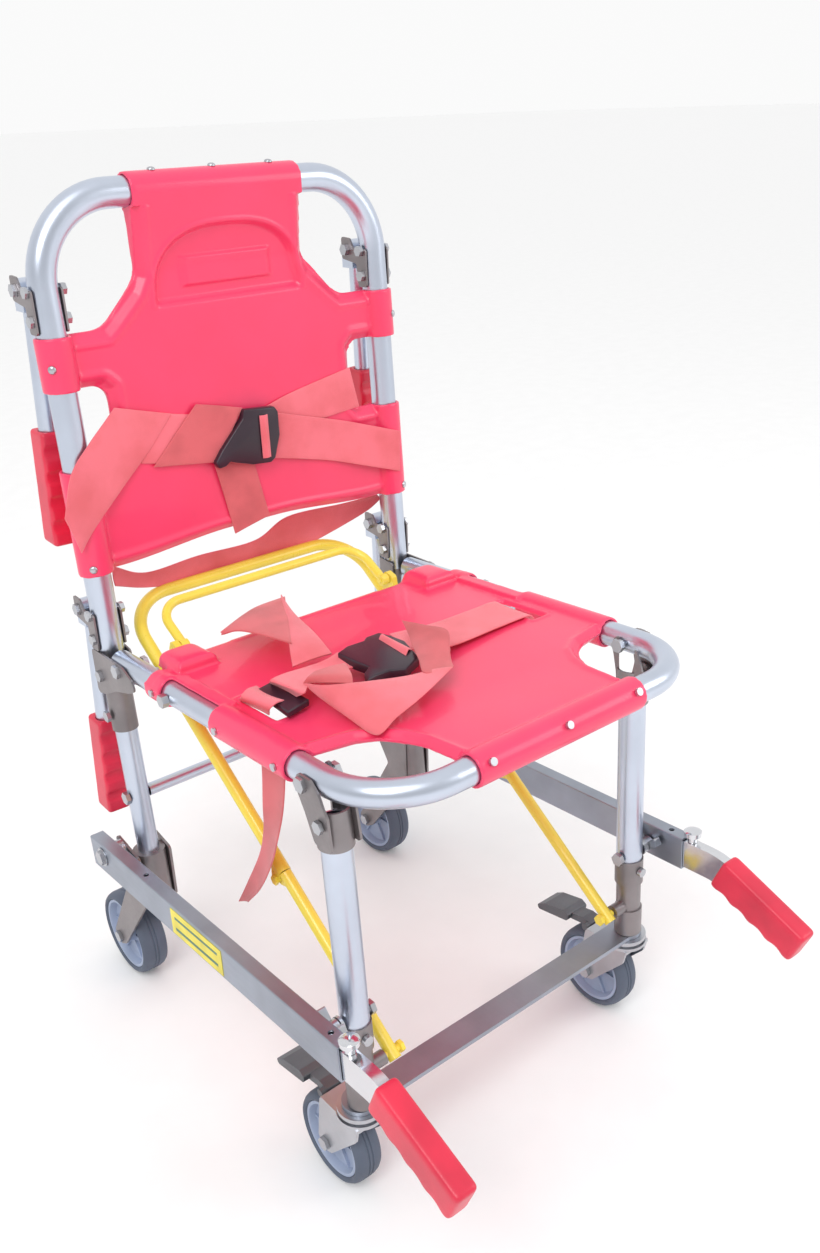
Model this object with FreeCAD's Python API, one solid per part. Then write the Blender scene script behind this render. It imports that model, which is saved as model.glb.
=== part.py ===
import FreeCAD, Part
import math
import os

# Stair chair. Millimetres, +Z up, the sitter's left is +X and the chair faces -Y.
# The finished origin is on the floor, at the middle of the whole chair's box. Heights below are taken
# from a datum in the frame, and every node is lifted by -FLOOR_Z when it is written.
# Most pieces come in mirrored pairs: they are built for the left side and mirrored for the right.

V = FreeCAD.Vector
X_AXIS = V(1, 0, 0)
Y_AXIS = V(0, 1, 0)
Z_AXIS = V(0, 0, 1)

FLOOR_Z = -4.0          # height of the floor over the frame's datum

# Tubes
TUBE_R = 14.0           # back tube and front leg tubes
SEAT_R = 12.5           # seat tube
TUBE_WALL = 1.9
LEG_R = 12.0            # rear leg, which plugs into the back tube
BAR_R = 7.0             # brace tubes and rear crossbar
FIT = 0.05              # radial play of a pivot bolt in its hole

# Back frame: a leaning line in the side view that the back tube and rear legs share
BACK_X = 192.0
BACK_Z = 440.0
BACK_Y = 238.0
BACK_LEAN = 0.05
BACK_TOP_Z = 893.0
BACK_CORNER = 78.0
BACK_LOW_Z = 447.0
LEG_TOP_Z = 480.0
LEG_LOW_Z = 148.0
CROSSBAR_Z = 283.0

# Seat frame
SEAT_X = 193.0
SEAT_Z = 462.0          # at the middle of the seat
SEAT_SLOPE = 0.05       # rise towards the front
SEAT_REAR_Y = 215.0
SEAT_FRONT_Y = -220.0
SEAT_CORNER = 72.0

# Pivots in the side view, as (y, z)
SEAT_PIVOT = (194.0, 452.3)
LEG_PIVOT = (-136.0, 468.0)
RAIL_PIVOT = (250.0, 209.0)
RAIL_FRONT_PIVOT = (-155.8, 222.0)
LEVER_PIVOT = (209.0, 431.3)
KNEE_PIVOT = (9.8, 268.6)
LINK_FOOT = (-159.0, 158.0)
RELEASE_PIVOT = (189.0, 459.0)
SEAT_BOLT = (96.0, 456.2)

# Front legs
FRONT_X = 187.5
FRONT_Y = -146.6        # the leg's middle line at FRONT_Z
FRONT_Z = 440.0
FRONT_LEAN = 0.042
FRONT_TOP_Z = 431.0
FRONT_LOW_Z = 218.0
FOOT_BASE_Z = 122.0
PLATE_TOP_Z = 121.5
PLATE_THICK = 5.0

# Side rails
RAIL_X = 228.8
RAIL_W = 16.4
RAIL_H = 38.0
RAIL_WALL = 1.8
RAIL_SLOPE = 2.75       # degrees, the front end is the higher one
RAIL_BACK = 28.0        # from the rear pivot to the rail's rear end
RAIL_FRONT = 450.0      # from the rear pivot to the rail's front end
RAIL_DROP = 3.5         # the rail's middle line lies this far under the pivot
SLIDE_W = 12.0
SLIDE_H = 32.0

# Brace
LEVER_X = 151.0
LEVER_TOP = (282.0, 485.0)
KNEE_JOINT = (2.0, 279.0)
RELEASE_X = 133.0
RELEASE_TOP = (240.0, 488.0)
RELEASE_R = 5.0

# Wheels
REAR_WHEEL = (192.0, 306.0)
REAR_WHEEL_R = 54.0
REAR_TYRE_W = 33.0
CASTER = (188.0, -156.0)
CASTER_TRAIL = 38.0
CASTER_WHEEL_R = 49.5
CASTER_TYRE_W = 30.6
TYRE_DEPTH = 9.0
AXLE_R = 4.0

# Fold-out carrying handles
HANDLE_BACK = 26.0      # pivot behind the back tube's middle line
HANDLE_R = 9.5
HANDLE_LEN = 134.0      # from the pivot to the grip
GRIP_LEN = 118.0
UPPER_HANDLE_Z = 815.0
LOWER_HANDLE_Z = 499.0
HANDLE_LEAN = 2.5       # degrees to the rear
HANDLE_SPLAY = 2.0      # degrees outwards


os.makedirs("parts", exist_ok=True)


# ---------------------------------------------------------------- helpers

def save(name, shape):
    """Write one node and stop at anything that isn't a closed solid."""
    if not shape.isValid() or not shape.Solids:
        raise RuntimeError(name + " is not a valid solid")
    shape.translated(V(0, 0, -FLOOR_Z)).exportStep("parts/" + name + ".step")


def box(x, y, z):
    """A box from three (low, high) pairs."""
    return Part.makeBox(x[1] - x[0], y[1] - y[0], z[1] - z[0], V(x[0], y[0], z[0]))


def rod(start, end, radius):
    """A round bar between two points."""
    run = end - start
    return Part.makeCylinder(radius, run.Length, start, run)


def rod_x(pivot, x, radius):
    """A round bar along X through a side view point."""
    return rod(V(x[0], pivot[0], pivot[1]), V(x[1], pivot[0], pivot[1]), radius)


def hexagon_x(pivot, x, across):
    """A hexagonal nut or bolt head along X."""
    radius = across / math.sqrt(3)
    turns = [math.radians(angle) for angle in range(0, 361, 60)]
    corners = [V(x[0], pivot[0] + radius * math.cos(turn), pivot[1] + radius * math.sin(turn))
               for turn in turns]
    return Part.Face(Part.makePolygon(corners)).extrude(V(x[1] - x[0], 0, 0))


def fuse(shapes):
    """Join touching solids into one."""
    return shapes[0].fuse(shapes[1:]).removeSplitter() if len(shapes) > 1 else shapes[0]


def group(shapes):
    """Keep separate solids together in one node."""
    return Part.makeCompound([solid for shape in shapes for solid in shape.Solids])


def mirrored(shape):
    return shape.mirror(V(0, 0, 0), X_AXIS)


def both(shape):
    """The same piece on both sides."""
    return group([shape, mirrored(shape)])


def side_pair(name, shape):
    """Save a left piece and its mirror image."""
    save(name + "_left", shape)
    save(name + "_right", mirrored(shape))


def rounded_wire(points, radii, closed=False):
    """Straight runs joined by tangent arcs; radii holds one radius per corner."""
    count = len(points)
    corners = range(count) if closed else range(1, count - 1)
    edges = []
    ends = {}
    for i in corners:
        here, before, after = points[i], points[i - 1], points[(i + 1) % count]
        radius = radii[i] if closed else radii[i - 1]
        to_before, to_after = (before - here).normalize(), (after - here).normalize()
        half = to_before.getAngle(to_after) / 2
        if radius <= 0 or half > 1.57:
            ends[i] = (here, here)
            continue
        cut = radius / math.tan(half)
        middle = (to_before + to_after).normalize() * (radius / math.sin(half) - radius)
        ends[i] = (here + to_before * cut, here + to_after * cut)
        edges.append((i + 0.5, Part.Arc(ends[i][0], here + middle, ends[i][1]).toShape()))
    for i in range(count if closed else count - 1):
        start = ends[i][1] if i in ends else points[i]
        end = ends[(i + 1) % count][0] if (i + 1) % count in ends else points[(i + 1) % count]
        if (end - start).Length > 1e-6:
            edges.append((i + 0.75, Part.makeLine(start, end)))
    return Part.Wire([edge for _, edge in sorted(edges, key=lambda item: item[0])])


def pipe(points, radii, outer, inner=0.0):
    """A bent tube, or a bent bar where inner is 0."""
    path = rounded_wire(points, radii)
    start, heading = points[0], points[1] - points[0]
    sweep = [Part.Wire(Part.makeCircle(r, start, heading)) for r in (outer, inner) if r > 0]
    solids = [path.makePipeShell([circle], True, False) for circle in sweep]
    return solids[0].cut(solids[1]) if inner > 0 else solids[0]


def plate_x(outline, x, radius=0.0):
    """A flat plate across X; outline holds side view points (y, z)."""
    points = [V(x[0], y, z) for y, z in outline]
    wire = rounded_wire(points, [radius] * len(points), closed=True)
    return Part.Face(wire).extrude(V(x[1] - x[0], 0, 0))


def back_y(z):
    """Side view position of the back frame's middle line at a height."""
    return BACK_Y + BACK_LEAN * (z - BACK_Z)


def front_y(z):
    """Side view position of the front leg's middle line at a height."""
    return FRONT_Y + FRONT_LEAN * (z - FRONT_Z)


def seat_tilt(shape):
    """Turn a seat piece built level to the seat's slope."""
    shape.rotate(V(0, 0, SEAT_Z), X_AXIS, -math.degrees(math.atan(SEAT_SLOPE)))
    return shape


def back_point(x, z, offset=0.0):
    """A point on the back frame, moved to the rear by offset."""
    return V(x, back_y(z) + offset, z)


def bolt_x(pivot, shank, radius, head_out=True, head=4.0, nut=5.0, across=0.0):
    """A bolt along X with its head and nut outside the shank's two ends."""
    across = across or radius * 3.2
    low, high = shank
    head_end, nut_end = (high, high + head), (low - nut, low)
    if not head_out:
        head_end, nut_end = (high, high + nut), (low - head, low)
    return fuse([rod_x(pivot, (low - nut / 2, high + head / 2), radius),
                 hexagon_x(pivot, head_end, across), hexagon_x(pivot, nut_end, across)])


# ---------------------------------------------------------------- rear frame

def make_back_tube():
    low = BACK_LOW_Z
    points = [back_point(-BACK_X, low), back_point(-BACK_X, BACK_TOP_Z),
              back_point(BACK_X, BACK_TOP_Z), back_point(BACK_X, low)]
    return pipe(points, [BACK_CORNER, BACK_CORNER], TUBE_R, TUBE_R - TUBE_WALL)


def make_rear_leg():
    bore = rod(back_point(BACK_X, LEG_LOW_Z - 1), back_point(BACK_X, LEG_TOP_Z + 1), LEG_R - TUBE_WALL)
    return rod(back_point(BACK_X, LEG_LOW_Z), back_point(BACK_X, LEG_TOP_Z), LEG_R).cut(bore)


def make_gusset():
    """A sleeve round the leg with a flange beside the seat tube that carries the seat's pivot bolt."""
    sleeve_low, sleeve_high = 366.0, BACK_LOW_Z - 0.2
    sleeve = rod(back_point(BACK_X, sleeve_low), back_point(BACK_X, sleeve_high), LEG_R + 1.9)
    near, far = SEAT_X + SEAT_R + 0.5, SEAT_X + SEAT_R + 2.6
    outline = [(251, 460), (184, 460), (166, 452), (160, 441),
               (174, 434), (206, 425), (232, 412), (251, 408)]
    outer = plate_x(outline, (near, far), 5.0)
    inner_outline = [(250, 460), (225, 456), (225, 430), (232, 414), (250, 410)]
    inner = plate_x(inner_outline, (BACK_X - 16.2, BACK_X - 14.05), 4.0)
    bore = rod(back_point(BACK_X, sleeve_low - 1), back_point(BACK_X, sleeve_high + 30), LEG_R + 0.02)
    tube = rod(back_point(BACK_X, BACK_LOW_Z - 0.1), back_point(BACK_X, 500), TUBE_R + 0.02)
    return fuse([sleeve, outer, inner]).cut([bore, tube, rod_x(SEAT_PIVOT, (200, 240), 4.0)])


def make_wheel_bracket():
    """A socket on the leg's end and two cheeks that reach back to the wheel's axle and the rail's pivot."""
    socket = rod(back_point(BACK_X, 150), back_point(BACK_X, 212), 18.2)
    socket = socket.cut(rod(back_point(BACK_X, 149), back_point(BACK_X, 213), LEG_R + 0.02))
    outline = [(212, 212), (264, 222), (266, 196), (248, 168), (320, 52), (308, 37), (292, 46), (213, 148)]
    cheeks = [plate_x(outline, (BACK_X + low, BACK_X + low + 3), 6.0) for low in (17.6, -20.6)]
    bracket = fuse([socket] + cheeks)
    bracket = bracket.cut(rod_x(axle_point(REAR_WHEEL, REAR_WHEEL_R), (160, 220), AXLE_R))
    return bracket.cut(rod_x(RAIL_PIVOT, (160, 220), 5.0))


def make_crossbar():
    reach = BACK_X - LEG_R - 0.1
    y = back_y(CROSSBAR_Z)
    tube = rod(V(-reach, y, CROSSBAR_Z), V(reach, y, CROSSBAR_Z), BAR_R)
    saddle = rod(back_point(BACK_X, CROSSBAR_Z - 30), back_point(BACK_X, CROSSBAR_Z + 30), LEG_R + 0.02)
    bore = rod(V(-reach - 1, y, CROSSBAR_Z), V(reach + 1, y, CROSSBAR_Z), BAR_R - 2)
    return tube.cut(bore).cut(saddle).cut(mirrored(saddle))


def hinge_plates(pivot_z):
    """The outer and inner plates that hold one fold-out handle to the back tube."""
    y = back_y(pivot_z)
    outline = [(y - 8, pivot_z + 2), (y + 14, pivot_z + 2), (y + 20, pivot_z + 12),
               (y + HANDLE_BACK + 9, pivot_z + 13), (y + HANDLE_BACK + 9, pivot_z - 10),
               (y + 9, pivot_z - 14), (y + 7, pivot_z - 38), (y - 8, pivot_z - 38)]
    spans = ((BACK_X + 14.1, BACK_X + 16.1), (BACK_X - 16.1, BACK_X - 14.1))
    return [plate_x(outline, span, 3.0) for span in spans]


def handle_pivot(z):
    return (back_y(z) + HANDLE_BACK, z)


def make_hinge_plates(pivot_z):
    pivot = handle_pivot(pivot_z)
    holes = [rod_x(pivot, (150, 220), 3.5)]
    holes += [rod_x((back_y(z), z), (150, 220), 3.0) for z in (pivot_z, pivot_z - 26)]
    return both(group([plate.cut(holes) for plate in hinge_plates(pivot_z)]))


def make_frame_fasteners():
    """Bolts of the seat pivots, gussets, crossbar, handle hinges, wheel axles and rail pivots."""
    inner, outer = BACK_X - 16.3, BACK_X + 16.3
    flange = SEAT_X + SEAT_R + 2.7
    bolts = [bolt_x(SEAT_PIVOT, (SEAT_X - SEAT_R - 0.4, flange), 4.0)]
    for z in (385.0, 432.0):
        bolts.append(hexagon_x((back_y(z), z), (flange, flange + 4.0), 11.0))
    crossbar_end = (back_y(CROSSBAR_Z), CROSSBAR_Z)
    bolts.append(hexagon_x(crossbar_end, (BACK_X + LEG_R + 0.1, BACK_X + LEG_R + 5), 13.0))
    for z in (UPPER_HANDLE_Z, LOWER_HANDLE_Z):
        bolts.append(bolt_x(handle_pivot(z), (inner, outer), 3.5, across=11.0))
        for low in (z, z - 26):
            bolts.append(fuse([hexagon_x((back_y(low), low), (outer, outer + 3.5), 10.0),
                               rod_x((back_y(low), low), (BACK_X + TUBE_R + 0.1, outer + 1), 3.0)]))
            bolts.append(fuse([hexagon_x((back_y(low), low), (inner - 5, inner), 10.0),
                               rod_x((back_y(low), low), (inner - 1, BACK_X - TUBE_R - 0.1), 3.0)]))
    axle = axle_point(REAR_WHEEL, REAR_WHEEL_R)
    bolts.append(bolt_x(axle, (BACK_X - 20.8, BACK_X + 20.8), AXLE_R, across=13.0))
    rail_out = RAIL_X + RAIL_W / 2
    washer = rod_x(RAIL_PIVOT, (rail_out + 0.3, rail_out + 1.6), 11.0)
    bolts.append(fuse([rod_x(RAIL_PIVOT, (BACK_X + 17.4, rail_out + 3.5), 5.0), washer,
                       hexagon_x(RAIL_PIVOT, (rail_out + 1.5, rail_out + 5.5), 15.0)]))
    return both(group(bolts))


def make_rail_spacers():
    start, end = BACK_X + 20.7, RAIL_X - RAIL_W / 2 - 0.4
    ring = rod_x(RAIL_PIVOT, (start, end), 12.0).cut(rod_x(RAIL_PIVOT, (start - 1, end + 1), 5.02))
    return both(ring)


def make_back_panel():
    """A moulded panel that wraps the top bar and both sides, with cut-outs at corners and sides."""
    neck, clamp_high, clamp_low, notch_low, low = 818.0, 774.0, 723.0, 648.0, 541.0
    edge, wrap_r, gap = BACK_X - 12.0, TUBE_R + 3.8, TUBE_R + 0.15
    half = [(96, BACK_TOP_Z), (97, neck), (140, clamp_high), (edge, clamp_high), (edge, clamp_low),
            (146, clamp_low), (146, notch_low), (edge, notch_low), (edge, low)]
    radii = [0, 25, 30, 0, 0, 16, 16, 0, 0]
    outline = [V(x, 0, z) for x, z in half] + [V(-x, 0, z) for x, z in reversed(half)]
    sheet = Part.Face(rounded_wire(outline, radii + radii[::-1], closed=True)).extrude(V(0, 7, 0))
    sheet.translate(V(0, BACK_Y - 5.5, -BACK_Z))
    sheet.rotate(V(0, BACK_Y, 0), X_AXIS, -math.degrees(math.atan(BACK_LEAN)))
    sheet.translate(V(0, 0, BACK_Z))
    rings = [rod(back_point(BACK_X, z[0]), back_point(BACK_X, z[1]), wrap_r)
             for z in ((clamp_low, clamp_high), (low, notch_low))]
    rings += [mirrored(ring) for ring in rings]
    y_top = back_y(BACK_TOP_Z)
    rings.append(rod(V(-96, y_top, BACK_TOP_Z), V(96, y_top, BACK_TOP_Z), TUBE_R + 3.4))
    fairing = [(y_top - TUBE_R - 3.4, BACK_TOP_Z), (back_y(822) - 5.4, 822),
               (back_y(822) + 1.4, 822), (y_top + 1.4, BACK_TOP_Z)]
    panel = fuse([sheet, plate_x(fairing, (-96, 96), 0)] + rings)
    sides = rod(back_point(BACK_X, 500), back_point(BACK_X, 800), gap)
    bar = rod(V(-150, y_top, BACK_TOP_Z), V(150, y_top, BACK_TOP_Z), gap)
    return panel.cut([sides, mirrored(sides), bar])


# ---------------------------------------------------------------- wheels

def axle_point(place, radius):
    """Side view position of the axle of a wheel that stands on the floor."""
    return (place[1], FLOOR_Z + radius)


def make_tyre(x, y, radius, width):
    """A tyre with rounded shoulders and a bore that fits the hub."""
    half, inner = width / 2, radius - TYRE_DEPTH
    profile = [V(0, -half + 3, inner), V(0, -half, radius - 10), V(0, -half + 3, radius - 3),
               V(0, -half + 8, radius), V(0, half - 8, radius), V(0, half - 3, radius - 3),
               V(0, half, radius - 10), V(0, half - 3, inner)]
    tyre = Part.Face(Part.makePolygon(profile + profile[:1])).revolve(V(0, 0, 0), Y_AXIS, 360)
    tyre.rotate(V(0, 0, 0), Z_AXIS, -90)
    tyre.translate(V(x, y, FLOOR_Z + radius))
    return tyre


def make_hub(x, y, radius, width):
    """A plastic hub: rim, web and a bore for the axle bolt."""
    half, rim, axle = width / 2 - 3, radius - TYRE_DEPTH, (y, FLOOR_Z + radius)
    hub = rod_x(axle, (x - half, x + half), rim - 0.02)
    for side in (-1, 1):
        hub = hub.cut(rod_x(axle, (x + side * 6, x + side * (half + 1)), rim - 5))
        hub = hub.fuse(rod_x(axle, (x + side * 5, x + side * (half + 0.8)), 10.0))
    return hub.cut(rod_x(axle, (x - 20, x + 20), AXLE_R + FIT)).removeSplitter()


# ---------------------------------------------------------------- fold-out carrying handles

def lean_handle(shape, pivot_z):
    """Turn a hanging handle piece slightly to the rear and outwards about its pivot."""
    y, z = handle_pivot(pivot_z)
    shape.rotate(V(BACK_X, y + 3, z), X_AXIS, HANDLE_LEAN)
    shape.rotate(V(BACK_X, y + 3, z), Y_AXIS, -HANDLE_SPLAY)
    return shape


def make_handle_arm(pivot_z):
    """A tube with a flat-sided hinge end, hanging from its pivot."""
    y, z = handle_pivot(pivot_z)
    tube = rod(V(BACK_X, y + 3, z - 4), V(BACK_X, y + 3, z - HANDLE_LEN - GRIP_LEN + 12), HANDLE_R)
    ear = rod(V(BACK_X - 13.6, y, z), V(BACK_X + 13.6, y, z), 10.5)
    block = box((BACK_X - 13.6, BACK_X + 13.6), (y - 6.5, y + 12.4), (z - 20, z))
    return fuse([ear, block, lean_handle(tube, pivot_z)]).cut(rod_x((y, z), (150, 230), 3.5 + FIT))


def make_handle_grip(pivot_z):
    """A rectangular moulded grip with finger grooves towards the chair."""
    y, z = handle_pivot(pivot_z)
    y, top = y + 3, z - HANDLE_LEN
    grip = box((BACK_X - 13.5, BACK_X + 13.5), (y - 14, y + 16), (top - GRIP_LEN, top))
    grip = grip.makeFillet(3.5, grip.Edges)
    for i in range(4):
        middle = top - 20 - i * 25.5
        grip = grip.cut(rod(V(BACK_X - 20, y - 22.0, middle), V(BACK_X + 20, y - 22.0, middle), 11.0))
    socket = rod(V(BACK_X, y, top + 1), V(BACK_X, y, top - GRIP_LEN + 12), HANDLE_R + 0.02)
    return lean_handle(grip.cut(socket), pivot_z)


# ---------------------------------------------------------------- seat

def make_seat_tube():
    """The seat's bent ring, open at the rear, with a welded hanger on each side for the brace lever."""
    points = [V(-SEAT_X, SEAT_REAR_Y, SEAT_Z), V(-SEAT_X, SEAT_FRONT_Y, SEAT_Z),
              V(SEAT_X, SEAT_FRONT_Y, SEAT_Z), V(SEAT_X, SEAT_REAR_Y, SEAT_Z)]
    ring = seat_tilt(pipe(points, [SEAT_CORNER, SEAT_CORNER], SEAT_R, SEAT_R - TUBE_WALL))
    y, z = LEVER_PIVOT
    drop_outline = [(y - 14, 446), (y + 5, 446), (y + 8, z - 2), (y, z - 9), (y - 9, z - 2)]
    drop = plate_x(drop_outline, (181, 184), 3.0)
    tab = box((181, 203), (y - 13, y + 5), (437.4, 440.4))
    pin = rod_x(LEVER_PIVOT, (LEVER_X - BAR_R - 4, 184.5), 4.0 - 0.01)
    hanger = fuse([drop, tab, pin, hexagon_x(LEVER_PIVOT, (184, 187), 12.0)])
    bore = seat_tilt(rod(V(SEAT_X, 100, SEAT_Z), V(SEAT_X, 230, SEAT_Z), SEAT_R - TUBE_WALL))
    hanger = hanger.cut(bore)
    ring = fuse([ring, hanger, mirrored(hanger)])
    holes = [rod_x(pivot, (172, 225), 4.0 + FIT) for pivot in (SEAT_PIVOT, LEG_PIVOT, SEAT_BOLT)]
    return ring.cut(holes + [mirrored(hole) for hole in holes])


def make_seat_panel():
    """A moulded seat that wraps the side tubes and the front bar, with cut-outs and two belt slots."""
    edge, wrap_r, gap = SEAT_X - 12.0, SEAT_R + 3.6, SEAT_R + 0.15
    half = [(140, 161), (edge, 150), (edge, -110), (122, -128), (104, -166), (101, SEAT_FRONT_Y)]
    radii = [12, 0, 0, 40, 40, 0]
    outline = [V(x, y, 0) for x, y in half] + [V(-x, y, 0) for x, y in reversed(half)]
    sheet = Part.Face(rounded_wire(outline, radii + radii[::-1], closed=True)).extrude(V(0, 0, 4))
    sheet.translate(V(0, 0, SEAT_Z + 6.5))
    wraps = [rod(V(SEAT_X, y[0], SEAT_Z), V(SEAT_X, y[1], SEAT_Z), wrap_r) for y in ((105, 136), (-108, 14))]
    wraps.append(box((edge - 4, SEAT_X), (10, 108), (SEAT_Z + 7, SEAT_Z + 15)))
    wraps += [mirrored(wrap) for wrap in wraps]
    wraps.append(rod(V(-101, SEAT_FRONT_Y, SEAT_Z), V(101, SEAT_FRONT_Y, SEAT_Z), wrap_r))
    for side in (-1, 1):
        hump = box((-22, 22), (112, 160), (SEAT_Z + 7, SEAT_Z + 24))
        hump = hump.makeFillet(10, [edge for edge in hump.Edges if edge.BoundBox.ZMin > SEAT_Z + 20])
        hump.translate(V(side * 158, 0, 0))
        wraps.append(hump)
    panel = fuse([sheet] + wraps)
    side_tube = rod(V(SEAT_X, 180, SEAT_Z), V(SEAT_X, -150, SEAT_Z), gap)
    front_tube = rod(V(-150, SEAT_FRONT_Y, SEAT_Z), V(150, SEAT_FRONT_Y, SEAT_Z), gap)
    slot = box((150, 168), (-41, 22), (SEAT_Z, SEAT_Z + 20))
    return seat_tilt(panel.cut([side_tube, mirrored(side_tube), front_tube, slot, mirrored(slot)]))


def make_seat_fasteners():
    """Screws of the front sleeve, rivets of the side wraps and large bolts through the side tubes."""
    screws = [rod(V(x, SEAT_FRONT_Y - 14.6, SEAT_Z + 9), V(x, SEAT_FRONT_Y - 17.2, SEAT_Z + 10.4), 3.6)
              for x in (-89, 0, 89)]
    rivets = [rod(V(SEAT_X + 16.2, y, SEAT_Z), V(SEAT_X + 18.2, y, SEAT_Z), 3.6) for y in (119, 0, -96)]
    bolt = bolt_x(SEAT_BOLT, (SEAT_X - SEAT_R - 0.2, SEAT_X + SEAT_R + 0.2), 3.9, across=12.0, head=7.0)
    return group([seat_tilt(both(group(rivets))), seat_tilt(group(screws)), both(bolt)])


# ---------------------------------------------------------------- front legs

def make_front_leg():
    low, high = V(FRONT_X, front_y(FRONT_LOW_Z), FRONT_LOW_Z), V(FRONT_X, front_y(FRONT_TOP_Z), FRONT_TOP_Z)
    return rod(low, high, TUBE_R).cut(rod(low, high, TUBE_R - TUBE_WALL))


def make_front_bracket():
    """A sleeve round the leg's top with two slanted ears that reach up beside the seat tube."""
    ear = [(-165, 410), (-167, 448), (-158, 467), (-148, 476), (-130, 476),
           (-125, 466), (-134, 440), (-141, 410)]
    relief = [(-125, 416), (-139, 433), (-139, 470), (-100, 470), (-100, 416)]
    outer, inner = SEAT_X + SEAT_R + 0.6, SEAT_X - SEAT_R - 0.6
    sheet, sleeve_r = 2.4, TUBE_R + 2.2
    ears = []
    for top, low, out in ((outer, FRONT_X + sleeve_r - sheet, 1), (inner, FRONT_X - sleeve_r + sheet, -1)):
        flank = [V(low, -200, 405), V(low + out * sheet, -200, 405), V(top + out * sheet, -200, 456),
                 V(top + out * sheet, -200, 490), V(top, -200, 490), V(top, -200, 456), V(low, -200, 405)]
        slab = Part.Face(Part.makePolygon(flank)).extrude(V(0, 100, 0))
        ears.append(slab.common(plate_x(ear, (160, 220), 5.0)))
    sleeve = rod(V(FRONT_X, front_y(406), 406), V(FRONT_X, front_y(444), 444), sleeve_r)
    leg = rod(V(FRONT_X, front_y(300), 300), V(FRONT_X, front_y(500), 500), TUBE_R + 0.02)
    seat_room = plate_x(relief, (inner, FRONT_X + sleeve_r))
    return fuse([sleeve] + ears).cut([leg, rod_x(LEG_PIVOT, (150, 240), 4.0), seat_room])


def make_foot():
    """Collar and cast stub under the leg tube, with the boss that carries the brace's lower end."""
    collar_top = FRONT_LOW_Z - 0.1
    collar = rod(V(FRONT_X, front_y(188), 188), V(FRONT_X, front_y(collar_top), collar_top), 15.4)
    stub = rod(V(FRONT_X, front_y(150), 150), V(FRONT_X, front_y(190), 190), 13.4)
    base = rod(V(FRONT_X, front_y(FOOT_BASE_Z), FOOT_BASE_Z), V(FRONT_X, front_y(154), 154), 15.0)
    boss = rod_x(LINK_FOOT, (LEVER_X + 9.4, FRONT_X - 5), 7.5)
    flat = box((150, 220), (-200, -120), (FOOT_BASE_Z - 20, PLATE_TOP_Z + 0.05))
    return fuse([collar, stub, base, boss]).cut(flat)


def make_front_crossbar():
    """A flat bar across the two casters with round ends."""
    y = CASTER[1]
    low = PLATE_TOP_Z - PLATE_THICK
    bar = box((-CASTER[0], CASTER[0]), (y - 15, y + 15), (low, PLATE_TOP_Z))
    ends = [Part.makeCylinder(18, PLATE_THICK, V(side * CASTER[0], y, low)) for side in (-1, 1)]
    return fuse([bar] + ends)


def make_leg_fasteners():
    """Bolts of the front legs; the rail bolt stops short of the rail."""
    outer, inner = SEAT_X + SEAT_R + 3.1, SEAT_X - SEAT_R - 3.1
    bolts = [bolt_x(LEG_PIVOT, (inner, outer), 4.0)]
    bolts.append(hexagon_x((-156.0, 436.0), (outer - 0.6, outer + 3), 11.0))
    bolts.append(fuse([rod_x(RAIL_FRONT_PIVOT, (FRONT_X + TUBE_R + 0.2, RAIL_X - RAIL_W / 2 - 1.0), 4.0),
                       rod_x(RAIL_FRONT_PIVOT, (FRONT_X + 15.6, FRONT_X + TUBE_R + 4.5), 9.0)]))
    bolts.append(fuse([rod_x(RAIL_FRONT_PIVOT, (FRONT_X - 16.0, FRONT_X - TUBE_R - 0.2), 4.0),
                       hexagon_x(RAIL_FRONT_PIVOT, (FRONT_X - 20.6, FRONT_X - 15.6), 13.0)]))
    collar_y = front_y(205) - 15.4
    bolts.append(rod(V(FRONT_X, collar_y - 0.2, 206), V(FRONT_X, collar_y - 4.2, 206), 5.0))
    return both(group(bolts))


def make_wing_nut():
    """A wing nut on the rail's front bolt, between the leg and the rail."""
    x0, x1 = FRONT_X + TUBE_R + 5.4, RAIL_X - RAIL_W / 2 - 1.6
    y, z = RAIL_FRONT_PIVOT
    core = rod_x(RAIL_FRONT_PIVOT, (x0, x1), 8.0)
    wings = [plate_x([(y + s * 4, z + 5), (y + s * 15, z + 16), (y + s * 20, z + 8), (y + s * 5, z - 4)],
                     (x0 + 2, x1 - 2), 2.0) for s in (-1, 1)]
    return fuse([core] + wings).cut(rod_x(RAIL_FRONT_PIVOT, (x0 - 1, x1 + 1), 4.0 + FIT))


# ---------------------------------------------------------------- casters

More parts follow.
